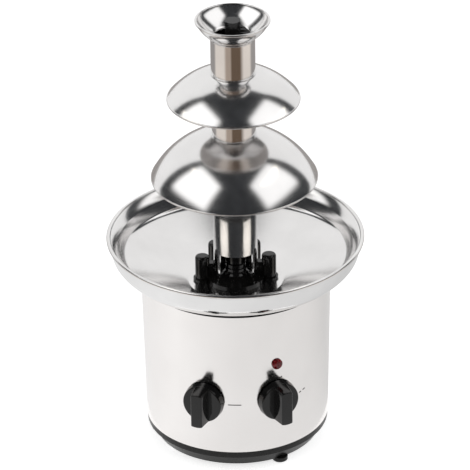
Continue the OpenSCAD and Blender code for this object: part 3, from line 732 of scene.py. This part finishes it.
@dataclass
class Basin:
    """Wide bowl with its sloping lip, and the apron under it, in millimetres."""

    rim_r: float = 115.0
    rim_z: float = 199.0
    wall: float = 1.2
    bead_r: float = 1.8
    lip_bow: Point = (108.4, 195.4)
    wall_top: Point = (104.8, 189.6)
    dish_edge: Point = (100.5, 178.18)
    knee_up: Point = (1.0, 2.8)
    knee_in: Point = (-4.0, -1.72)
    knee_clear: float = 4.5
    dish_turn: Point = (44.3, 154.0)
    floor_r: float = 42.3
    hole_r: float = 6.5
    waist: Point = (110.5, 184.0)
    turn: Point = (109.0, 178.0)
    shoulder: Point = (100.0, 171.0)
    shelf_r: float = 86.0
    shelf_in_r: float = 84.0
    shelf_z: float = 168.0
    joint_gap: float = 0.3
    segments: int = 256

    def bowl(self) -> list[Loop]:
        """Loops of the bowl and its rolled rim.

        Returns:
            The loops.
        """
        bead = (self.rim_r - self.bead_r, self.rim_z - self.bead_r)
        top = (bead[0], self.rim_z - self.wall / 4)
        edge, floor_z = self.dish_edge, self.dish_turn[1]
        roll = bend(top, self.lip_bow, self.wall_top, steps=20)
        knee = bend(moved(edge, self.knee_up), edge, moved(edge, self.knee_in), steps=8)
        dish = bend(edge, self.dish_turn, (self.floor_r, floor_z), steps=48)
        dish = [p for p in dish if p[0] < edge[0] - self.knee_clear]
        path = roll + knee + dish + [(self.hole_r, floor_z)]
        return [thick(path, self.wall), ring(*bead, self.bead_r, steps=32)]

    def apron(self) -> list[Loop]:
        """Loops of the apron between the rim and the drum.

        Returns:
            The loops.
        """
        top = (self.rim_r - self.bead_r, self.rim_z - 2 * self.bead_r - self.joint_gap)
        path = [top] + bend(self.waist, self.turn, self.shoulder, steps=30)
        path += [(self.shelf_r, self.shelf_z), (self.shelf_in_r, self.shelf_z)]
        return [thick(path, -self.wall)]

    def build(self, wardrobe: Wardrobe) -> None:
        """Builds and dresses the basin.

        Args:
            wardrobe: The materials.
        """
        spun = (
            ("basin_bowl", self.bowl(), Slot.SATIN), ("basin_apron", self.apron(), Slot.POLISHED))
        for node, loops, slot in spun:
            place(lathe(f"{node}_shell", loops, self.segments), "base", slot, wardrobe, node)


@dataclass
class Housing:
    """Rounded knobs on the drum and plain setting marks beside them, in millimetres."""

    drum_r: float = 82.0
    drum_taper: float = 3.0 / 147.0
    drum_z: float = 21.0
    mark_t: float = 0.12
    mark_w: float = 0.9
    mark_top: float = 0.42
    mark_steps: int = 6
    marks: tuple[tuple[Side, Point, Point], ...] = (
        (Side.LEFT, (21.2, -2.4), (33.1, -2.6)), (Side.RIGHT, (3.6, 20.2), (5.2, 21.4)),
        (Side.RIGHT, (24.2, -2.5), (26.6, -2.0)), (Side.RIGHT, (28.6, -1.4), (31.2, -0.6)))
    knob_z: float = 73.0
    knob_angle: float = 22.7
    knob_gap: float = 1.2
    knob_face: float = 8.2
    knob_top: float = 22.0
    knob_r: float = 18.5
    knob_draft: float = 0.6
    knob_bore: float = 3.2
    knob_segments: int = 96
    knob_corner: float = 40.0
    skirt_round: float = 1.6
    bar_half: float = 5.2
    bar_end: float = 16.5
    bar_draft: float = 1.3
    bar_sink: float = 1.0
    bar_round: float = 1.1
    bar_steps: int = 6
    bar_corner: float = 0.6

    def radius(self, z: float) -> float:
        """Radius of the drum's face at a height."""
        return self.drum_r + self.drum_taper * (z - self.drum_z)

    def seat(self, side: Side) -> Matrix:
        """Place of a knob, with +Z out of the drum and +Y up.

        Args:
            side: Side of the knob.

        Returns:
            The placing in metres.
        """
        turn = Matrix.Rotation(math.radians(side.value * self.knob_angle), 4, "Z")
        out = Matrix.Translation((0.0, -self.radius(self.knob_z) * MM, self.knob_z * MM))
        return turn @ out @ Matrix.Rotation(math.radians(90.0), 4, "X")

    def skirt(self) -> Loop:
        """Loop of the knob's round skirt.

        Returns:
            The loop.
        """
        r, face, soft = self.knob_r - self.knob_draft, self.knob_face, self.skirt_round
        foot = [(self.knob_bore, self.knob_gap), (self.knob_r, self.knob_gap)]
        edge = bend((r, face - soft), (r, face), (r - soft, face), steps=8)
        return foot + edge + [(self.knob_bore, face)]

    def bar(self, mesh: bmesh.types.BMesh) -> None:
        """Adds the knob's grip bar with rounded edges.

        Args:
            mesh: The knob under construction.
        """
        rows = []
        for z, grow in ((self.knob_face - self.bar_sink, self.bar_draft), (self.knob_top, 0.0)):
            half, end = self.bar_half + grow, self.bar_end + grow
            reach = math.asin(half / end)
            arc = [reach * (k / self.bar_steps - 1) for k in range(2 * self.bar_steps + 1)]
            flat = [(end * math.sin(a), end * math.cos(a)) for a in arc]
            flat += [(-x, -y) for x, y in flat]
            rows.append([mesh.verts.new((x * MM, y * MM, z * MM)) for x, y in flat])
        low, high = rows
        top = mesh.faces.new(high)
        mesh.faces.new(low[::-1])
        for k, v in enumerate(low):
            n = (k + 1) % len(low)
            mesh.faces.new((v, low[n], high[n], high[k]))
        mesh.normal_update()
        crest = set(top.edges)
        free = [e for e in mesh.edges if not all(v in low for v in e.verts)]
        rim = [e for e in free if e in crest or e.calc_face_angle(0.0) > self.bar_corner]
        bmesh.ops.bevel(
            mesh, geom=rim, offset=self.bar_round * MM, segments=4, profile=0.5,
            affect="EDGES", clamp_overlap=True)

    def knob(self, name: str, side: Side) -> bpy.types.Object:
        """Builds a knob with its skirt and bar.

        Args:
            name: Name of the piece.
            side: Side of the knob.

        Returns:
            The new piece.
        """
        mesh = bmesh.new()
        self.bar(mesh)
        turned(mesh, self.skirt(), self.knob_segments)
        bmesh.ops.transform(mesh, matrix=self.seat(side), verts=mesh.verts)
        return finished(name, mesh, self.knob_corner)

    def mark(self, name: str, side: Side, start: Point, end: Point) -> bpy.types.Object:
        """Builds one raised dash beside a knob that follows the drum.

        Args:
            name: Name of the piece.
            side: Side of the knob.
            start: Place of its start, to the right of the knob's axis and above it.
            end: Place of its end.

        Returns:
            The new piece.
        """
        mesh = bmesh.new()
        run = Vector(end) - Vector(start)
        across = Vector((run.y, -run.x)).normalized()
        top, t = self.mark_top, self.mark_t
        rows = []
        for i in range(self.mark_steps + 1):
            base = Vector(start) + run * (i / self.mark_steps)
            row = []
            for share, out in ((-0.5, 0.0), (0.5, 0.0), (top, t), (-top, t)):
                spot = base + across * (share * self.mark_w)
                z = self.knob_z + spot.y
                r = self.radius(z)
                angle = math.radians(side.value * self.knob_angle) + spot.x / r
                x, y = (r + out) * math.sin(angle), -(r + out) * math.cos(angle)
                row.append(mesh.verts.new((x * MM, y * MM, z * MM)))
            rows.append(row)
        for here, there in zip(rows, rows[1:]):
            for k in range(4):
                n = (k + 1) % 4
                mesh.faces.new((here[k], here[n], there[n], there[k]))
        mesh.faces.new(rows[0])
        mesh.faces.new(rows[-1][::-1])
        return finished(name, mesh)

    def build(self, wardrobe: Wardrobe) -> None:
        """Builds and dresses the knobs and the marks.

        Args:
            wardrobe: The materials.
        """
        for node, side in zip(("motor_knob", "heat_knob"), Side):
            place(self.knob(f"{node}_cap", side), node, Slot.GLOSS, wardrobe, node)
        for i, mark in enumerate(self.marks):
            place(self.mark(f"setting_mark_{i + 1}", *mark), "base", Slot.BASE, wardrobe)


@dataclass
class Studio:
    """Pale floor, white surround, two soft boxes, the camera and cards that only mirrors show.

    Lengths are in metres and angles in degrees, with azimuths from the front.
    """

    target: tuple[float, float, float] = (0.0, 0.0, 0.1976)
    distance: float = 4.5
    elevation: float = 28.6
    azimuth: float = -2.2
    roll: float = 0.77
    lens: float = 386.6
    sensor: float = 36.0
    shift: float = -0.0006
    far_clip: float = 50.0
    box_azimuth: float = 72.0
    box_elevation: float = 37.0
    box_distance: float = 1.3
    box_size: Point = (1.75, 0.95)
    box_watts: float = 6.0
    box_glow: Point = (1.4, 1.25)
    ambient: float = 0.35
    white: float = 1.0
    floor_half: float = 6.0
    floor_tone: float = 0.75
    floor_glow: float = 0.72
    room_shade: Colour = (0.038, 0.040, 0.043)
    room_reach: float = 2.6
    room_lean: float = 88.0
    room_low: float = -2.0
    room_back: float = 0.32
    room_turn: float = 0.5
    room_slant: float = 0.6
    room_end: float = 0.98
    room_steps: tuple[int, int] = (60, 30)
    drape_scale: float = 2.5
    drape_range: Point = (0.7, 1.3)
    screen_corners: tuple[Point, ...] = ((25.0, 60.0), (38.0, 24.0), (110.0, 17.0), (113.0, 58.0))
    screen_reach: float = 1.3
    screen_fade: Point = (0.66, 1.0)
    screen_steps: int = 12
    wing_turn: Point = (67.0, 26.0)
    wing_reach: Point = (0.143, 0.019)
    wing_z: float = 0.40
    wing_tip: float = 1e-4
    wing_steps: int = 24
    # glow of the oval cards, brighter than white: painted reflection on the lower tube
    reflection_card_glow: Colour = (1.8, 1.72, 1.6)
    # glow of the floor card near the fountain by azimuth: painted light, lighter on the left
    near_reflection_glow: tuple[Point, ...] = (
        (-180.0, 0.80), (-140.0, 0.90), (-110.0, 0.95), (-70.0, 1.02), (0.0, 0.865),
        (85.0, 0.80), (120.0, 0.69), (150.0, 0.71), (180.0, 0.80))
    # tones of the far floor card by azimuth: a painted reflection with a dark brown band in front
    dark_reflection_tone: Colour = (0.15, 0.105, 0.075)
    half_tone: Colour = (0.44, 0.36, 0.30)
    pale_tone: Colour = (0.82, 0.75, 0.69)
    rear_tone: Colour = (0.36, 0.34, 0.33)
    reflection_band_turns: tuple[float, ...] = (
        -112.0, -98.0, -50.0, -36.0, -16.0, -8.0, 34.0, 54.0, 92.0, 108.0)
    near_reach: Point = (0.40, 0.50)
    floor_ring: Point = (0.10, 3.2)
    floor_steps: int = 96
    floor_lift: float = 0.004

    def toward(self, azimuth: float, elevation: float) -> Vector:
        """Unit vector at an azimuth from the front, right of it positive, and an elevation."""
        a, e = math.radians(azimuth), math.radians(elevation)
        return Vector((math.sin(a) * math.cos(e), -math.cos(a) * math.cos(e), math.sin(e)))

    def camera(self) -> None:
        """Sets the camera at the photographed angle."""
        back = self.toward(self.azimuth, self.elevation)
        right = (-back).cross(Vector((0, 0, 1))).normalized()
        up = right.cross(-back)
        c, s = math.cos(math.radians(self.roll)), math.sin(math.radians(self.roll))
        side, top = c * right - s * up, c * up + s * right
        spot = Vector(self.target) + self.distance * back
        data = bpy.data.cameras.new("camera")
        data.lens, data.sensor_width, data.shift_x = self.lens, self.sensor, self.shift
        data.clip_end = self.far_clip
        eye = bpy.data.objects.new("camera", data)
        rows = [[side[i], top[i], back[i], spot[i]] for i in range(3)] + [[0, 0, 0, 1]]
        eye.matrix_world = Matrix(rows)
        bpy.context.scene.collection.objects.link(eye)
        bpy.context.scene.camera = eye

    def soft_boxes(self) -> None:
        """Adds a large soft light on each side, with a screen that mirrors show in its place."""
        for side, glow in zip(Side, self.box_glow):
            name = side.name.lower()
            data = bpy.data.lights.new(f"soft_box_{name}", "AREA")
            data.shape = "RECTANGLE"
            data.size, data.size_y = self.box_size
            data.energy = self.box_watts
            lamp = bpy.data.objects.new(data.name, data)
            way = self.toward(side.value * self.box_azimuth, self.box_elevation)
            turn = way.to_track_quat("Z", "Y").to_matrix().to_4x4()
            spot = Vector(self.target) + self.box_distance * way
            lamp.matrix_world = Matrix.Translation(spot) @ turn
            lamp.visible_glossy = False
            bpy.context.scene.collection.objects.link(lamp)
            self.screen(f"soft_screen_{name}", side, glow)

    def screen(self, name: str, side: Side, strength: float) -> None:
        """Adds the screen of a soft box, bright in the middle and fading at its edges.

        Args:
            name: Name of the screen.
            side: Side of the soft box.
            strength: Glow at its middle.
        """
        tree = Tree(name)
        spread = tree.parts(tree.nodes.new("ShaderNodeTexCoord").outputs["UV"])
        fades = []
        for socket in spread[:2]:
            offset = tree.math("SUBTRACT", tree.math("MULTIPLY", socket, 2.0), 1.0)
            share = tree.math("ABSOLUTE", offset)
            fades.append(tree.remap(share, self.screen_fade, (1.0, 0.0), soft=True))
        glow = tree.math("MULTIPLY", tree.math("MULTIPLY", *fades), strength)
        level = tree.math("ADD", glow, self.room_shade[1])
        ways = [self.toward(side.value * az, el) for az, el in self.screen_corners]
        a, b, c, d = [way * self.screen_reach for way in ways]
        steps = self.screen_steps
        shares = [k / steps for k in range(steps + 1)]
        mesh = bmesh.new()
        layer = mesh.loops.layers.uv.new("spread")
        rows = []
        for v in shares:
            spots = [(a * (1 - u) + d * u) * (1 - v) + (b * (1 - u) + c * u) * v for u in shares]
            rows.append([mesh.verts.new(Vector(self.target) + spot) for spot in spots])
        for i in range(steps):
            for k in range(steps):
                corners = ((i, k), (i, k + 1), (i + 1, k + 1), (i + 1, k))
                face = mesh.faces.new([rows[m][n] for m, n in corners])
                for loop, (m, n) in zip(face.loops, corners):
                    loop[layer].uv = (shares[n], shares[m])
        self.mirror_only(self.stand(name, mesh, self.glowing(tree, level)))

    def reflection_cards(self) -> None:
        """Hangs a glowing oval card, no lamp, on each side of the crown, which the dish throws onto
        the tube as a painted reflection.
        """
        # the cards glow without being lamps: painted bright stripes that the lower tube shows
        # through the dish
        material = self.glowing(Tree("reflection_glow_card"), self.reflection_card_glow)
        middle, half = self.wing_turn
        reach, spread = self.wing_reach
        rise = Vector((0, 0, self.wing_z))
        for side in Side:
            mesh = bmesh.new()
            rows = []
            for k in range(self.wing_steps + 1):
                share = math.cos(math.pi * k / self.wing_steps)
                way = self.toward(side.value * (middle + half * share), 0.0)
                wide = spread * math.sqrt(max(1.0 - share * share, self.wing_tip))
                ends = (reach - wide, reach + wide)
                rows.append([mesh.verts.new(r * way + rise) for r in ends])
            for here, there in zip(rows, rows[1:]):
                mesh.faces.new((here[0], here[1], there[1], there[0]))
            self.mirror_only(self.stand(f"reflection_glow_card_{side.name.lower()}", mesh, material))

    def glowing(self, tree: Tree, level: Socket | Colour) -> bpy.types.Material:
        """Turns a material into a plain glow.

        Args:
            tree: The material's tree.
            level: Its colour, or the socket of its colour or strength.

        Returns:
            The material.
        """
        glow = tree.nodes.new("ShaderNodeEmission")
        if isinstance(level, tuple):
            glow.inputs["Color"].default_value = (*level, 1.0)
        else:
            tree.link(level, glow.inputs["Color"])
        tree.link(glow.outputs[0], tree.output.inputs["Surface"])
        tree.nodes.remove(tree.shader)
        return tree.material

    def mirror_only(self, sheet: bpy.types.Object) -> None:
        """Lets only mirrors show a card.

        Args:
            sheet: The card.
        """
        sheet.visible_camera = False
        sheet.visible_diffuse = False
        sheet.visible_shadow = False

    def surround(self) -> None:
        """Sets the white surround that camera and mirror rays see, with a dimmer fill."""
        world = bpy.data.worlds.new("surround")
        bpy.context.scene.world = world
        world.use_nodes = True
        nodes, links = world.node_tree.nodes, world.node_tree.links
        nodes.clear()
        out = nodes.new("ShaderNodeOutputWorld")
        sky = nodes.new("ShaderNodeBackground")
        sky.inputs["Color"].default_value = (1.0, 1.0, 1.0, 1.0)
        links.new(sky.outputs[0], out.inputs[0])
        links.new(self.seen(nodes, links, self.ambient, self.white), sky.inputs["Strength"])

    def seen(
            self, nodes: bpy.types.Nodes, links: bpy.types.NodeLinks, unseen: float,
            shown: float) -> Socket:
        """Adds a value that differs for rays that show a surface and rays that only light.

        Args:
            nodes: Nodes of the tree.
            links: Links of the tree.
            unseen: Value for rays that light the object.
            shown: Value for camera, mirror and clear rays.

        Returns:
            Socket of the value.
        """
        rays = nodes.new("ShaderNodeLightPath").outputs
        shows = rays["Is Camera Ray"]
        for name in ("Is Glossy Ray", "Is Transmission Ray"):
            either = nodes.new("ShaderNodeMath")
            either.operation = "MAXIMUM"
            links.new(shows, either.inputs[0])
            links.new(rays[name], either.inputs[1])
            shows = either.outputs[0]
        pick = nodes.new("ShaderNodeMapRange")
        pick.inputs["To Min"].default_value = unseen
        pick.inputs["To Max"].default_value = shown
        links.new(shows, pick.inputs["Value"])
        return pick.outputs[0]

    def stand(
            self, name: str, mesh: bmesh.types.BMesh,
            material: bpy.types.Material) -> bpy.types.Object:
        """Makes a mesh part of the studio.

        Args:
            name: Name of the piece.
            mesh: The mesh, which is freed.
            material: Its material.

        Returns:
            The new piece.
        """
        data = bpy.data.meshes.new(name)
        mesh.to_mesh(data)
        mesh.free()
        data.materials.append(material)
        sheet = bpy.data.objects.new(name, data)
        bpy.context.scene.collection.objects.link(sheet)
        return sheet

    def floor(self) -> None:
        """Lays the pale floor, which shows white and keeps the object's shadow."""
        tree = Tree("pale_floor")
        tone, half = self.floor_tone, self.floor_half
        tree.set(Base_Color=(tone, tone, tone, 1.0), Roughness=0.9)
        glow = tree.nodes.new("ShaderNodeEmission")
        glow.inputs["Color"].default_value = (1.0, 1.0, 1.0, 1.0)
        level = self.seen(tree.nodes, tree.links, 0.0, self.floor_glow)
        tree.link(level, glow.inputs["Strength"])
        both = tree.nodes.new("ShaderNodeAddShader")
        tree.link(tree.shader.outputs[0], both.inputs[0])
        tree.link(glow.outputs[0], both.inputs[1])
        tree.link(both.outputs[0], tree.output.inputs["Surface"])
        mesh = bmesh.new()
        corners = ((-half, -half, 0), (half, -half, 0), (half, half, 0), (-half, half, 0))
        mesh.faces.new([mesh.verts.new(corner) for corner in corners])
        self.stand("pale_floor", mesh, tree.material)

    def floor_reflection_glow(self) -> None:
        """Lays a glowing floor card that only mirrors show, a painted reflection: lighter on the
        left, a dark brown band farther in front.
        """
        tree = Tree("floor_reflection_glow")
        x, y, _ = tree.parts(tree.object_point())
        azimuth = tree.math("ARCTAN2", x, tree.math("MULTIPLY", y, -1.0))
        turn = tree.math("ADD", tree.math("DIVIDE", azimuth, 2 * math.pi), 0.5)
        # painted light: the near ring glows lighter on the left
        near = tree.ramp(turn, [(a / 360.0 + 0.5, (v, v, v)) for a, v in self.near_reflection_glow])
        # painted reflection: the far ring has a dark brown band in front between paler bands
        rear, pale, half, dark = self.rear_tone, self.pale_tone, self.half_tone, self.dark_reflection_tone
        tones = (rear, pale, pale, half, half, dark, dark, pale, pale, rear)
        far = tree.ramp(turn, [(a / 360.0 + 0.5, tone) for a, tone in zip(self.reflection_band_turns, tones)])
        blend = tree.nodes.new("ShaderNodeMix")
        blend.data_type = "RGBA"
        share = tree.remap(tree.reach(x, y), self.near_reach, (0.0, 1.0), soft=True)
        factor, first, second = blend.inputs[0], blend.inputs[6], blend.inputs[7]
        colour = blend.outputs[2]
        for source, target in ((share, factor), (near, first), (far, second)):
            tree.link(source, target)
        mesh = bmesh.new()
        steps, lift = self.floor_steps, Vector((0, 0, self.floor_lift))
        ways = [self.toward(360.0 * k / steps, 0.0) for k in range(steps)]
        inner, outer = [[mesh.verts.new(r * way + lift) for way in ways] for r in self.floor_ring]
        for k in range(steps):
            n = (k + 1) % steps
            mesh.faces.new((inner[k], inner[n], outer[n], outer[k]))
        self.mirror_only(self.stand("floor_reflection_glow", mesh, self.glowing(tree, colour)))

    def dark_room(self) -> None:
        """Hangs the dark cloth of the room in front and overhead, which only mirrors show."""
        mesh = bmesh.new()
        steps, rises = self.room_steps
        low = math.radians(self.room_low)
        rows = []
        for i in range(steps + 1):
            lean = math.radians(self.room_lean) * (2 * i / steps - 1)
            x, arc = math.sin(lean), math.cos(lean)
            back = self.room_back + self.room_slant * max(0.0, abs(x) - self.room_turn)
            end = math.acos(-min(back, self.room_end * arc) / arc)
            turns = [low + (end - low) * k / rises for k in range(rises + 1)]
            ways = [Vector((x, -arc * math.cos(t), arc * math.sin(t))) for t in turns]
            spots = [Vector(self.target) + self.room_reach * way for way in ways]
            rows.append([mesh.verts.new(spot) for spot in spots])
        for here, there in zip(rows, rows[1:]):
            for k in range(rises):
                mesh.faces.new((here[k], there[k], there[k + 1], here[k + 1]))
        tree = Tree("dark_cloth")
        folds = tree.noise(tree.object_point(), self.drape_scale)
        shade = tree.nodes.new("ShaderNodeVectorMath")
        shade.operation = "SCALE"
        shade.inputs[0].default_value = self.room_shade
        tree.link(tree.span(folds, *self.drape_range), shade.inputs["Scale"])
        self.mirror_only(self.stand("dark_room", mesh, self.glowing(tree, shade.outputs[0])))

    def build(self) -> None:
        """Sets up the whole studio."""
        self.surround()
        self.floor()
        self.floor_reflection_glow()
        self.dark_room()
        self.soft_boxes()
        self.reflection_cards()
        self.camera()
        bpy.context.scene.view_settings.view_transform = "Standard"


def main() -> None:
    """Builds the sub-assemblies in order, then the studio."""
    logging.basicConfig(level=logging.INFO)
    wardrobe = Wardrobe()
    wardrobe.dress_frame()
    Tower().build(wardrobe)
    Basin().build(wardrobe)
    Housing().build(wardrobe)
    Studio().build()


if __name__ == "__main__":
    main()
